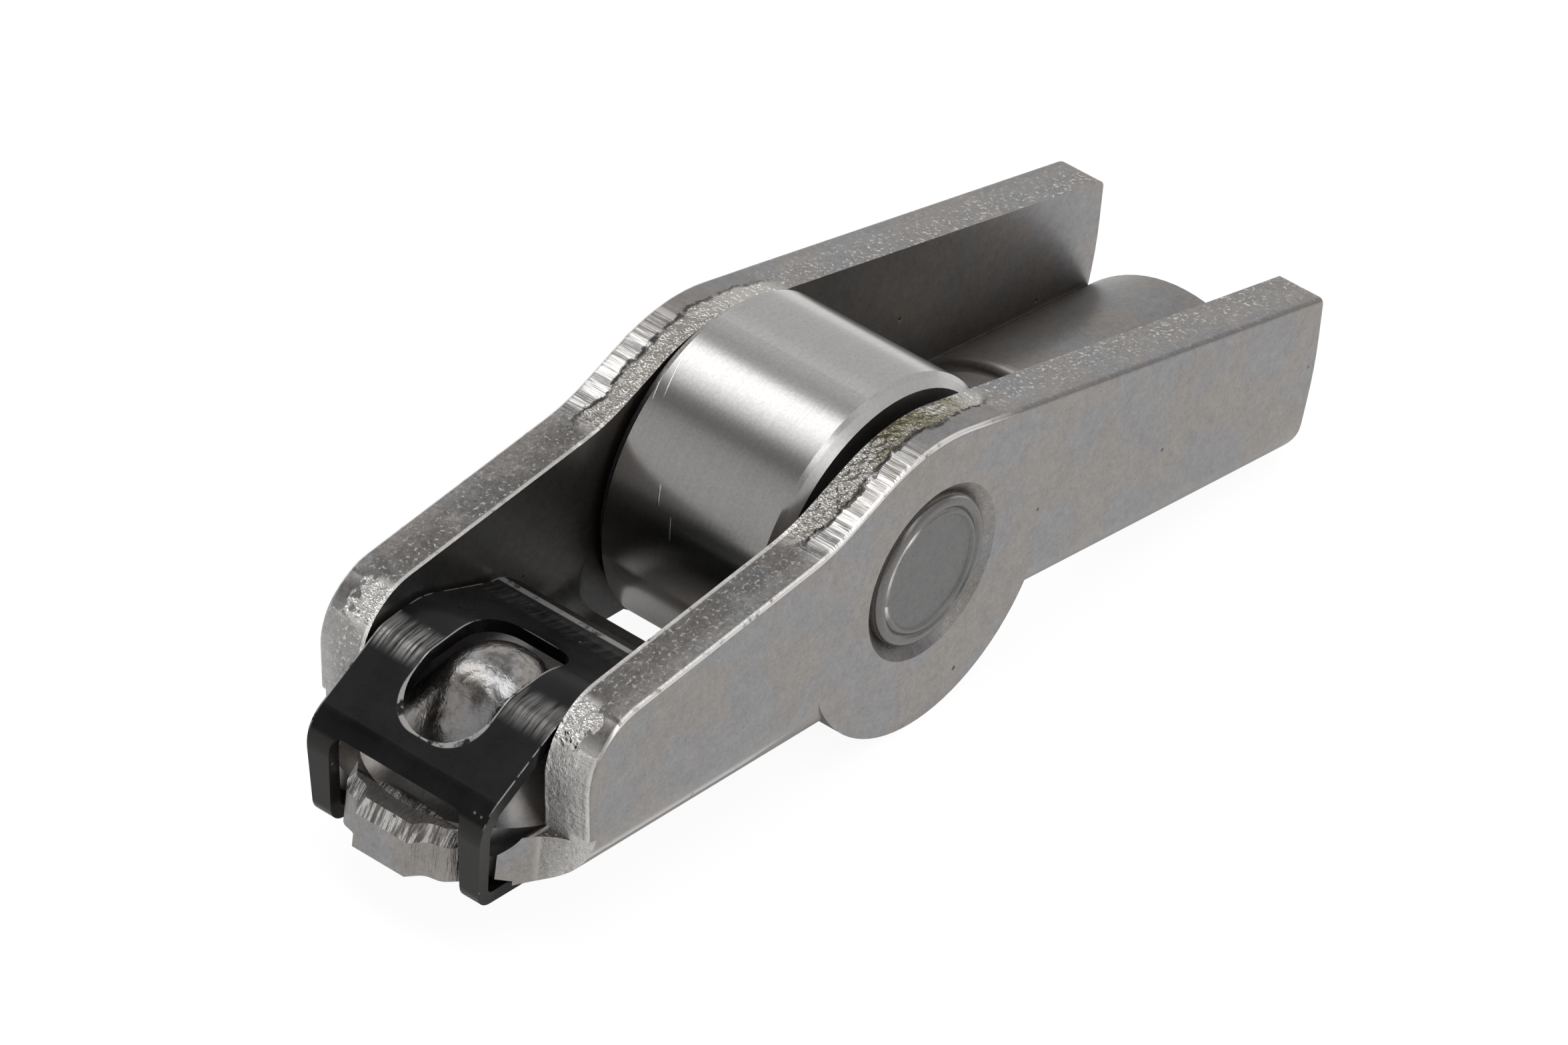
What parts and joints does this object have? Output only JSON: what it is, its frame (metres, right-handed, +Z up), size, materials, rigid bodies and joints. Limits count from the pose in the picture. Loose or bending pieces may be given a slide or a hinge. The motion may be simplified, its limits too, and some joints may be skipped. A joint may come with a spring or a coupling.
{
  "type": "rocker arm",
  "caption": "Roller finger rocker arm: stamped steel channel with a ball socket under a raised dome, a black spring clip, a cam roller on needles and an arched valve pad.",
  "frame": {"origin": "centre of the ball that the socket at the pivot end takes, in the arm's middle plane", "axes": "+X along the arm from the socket to the valve end, +Y across the channel along the roller's axle, +Z up as the part lies on a table with its cut edges and roller up"},
  "size_m": [0.06, 0.0166, 0.0174],
  "materials": {
    "tumbled_steel": "stamped and tumbled satin steel with sheared, partly fractured edges",
    "axle_steel": "matte hardened steel with a bright staked ring",
    "ground_steel": "finely ground bearing steel",
    "black_spring_steel": "black oxide spring steel, semi-gloss, rubbed grey at the crest"
  },
  "bodies": {
    "channel": {"arm": "tumbled_steel", "axle": "axle_steel", "clip": "black_spring_steel"},
    "roller": {"roller": "ground_steel"},
    "needle_set": {"needle_01": "ground_steel", "needle_02": "ground_steel", "needle_03": "ground_steel", "needle_04": "ground_steel", "needle_05": "ground_steel", "needle_06": "ground_steel", "needle_07": "ground_steel", "needle_08": "ground_steel", "needle_09": "ground_steel", "needle_10": "ground_steel", "needle_11": "ground_steel", "needle_12": "ground_steel", "needle_13": "ground_steel", "needle_14": "ground_steel", "needle_15": "ground_steel"}
  },
  "joints": [
    {"name": "roller_spin", "type": "hinge", "parent": "channel", "child": "roller", "pos_m": [0.02204, 0, 0.00401], "axis": [0, 1, 0], "continuous": true},
    {"name": "needle_orbit", "type": "hinge", "parent": "channel", "child": "needle_set", "pos_m": [0.02204, 0, 0.00401], "axis": [0, 1, 0], "continuous": true}
  ],
  "couplings": [
    {"joint": "needle_orbit", "follows": "roller_spin", "ratio": 0.60159}
  ]
}
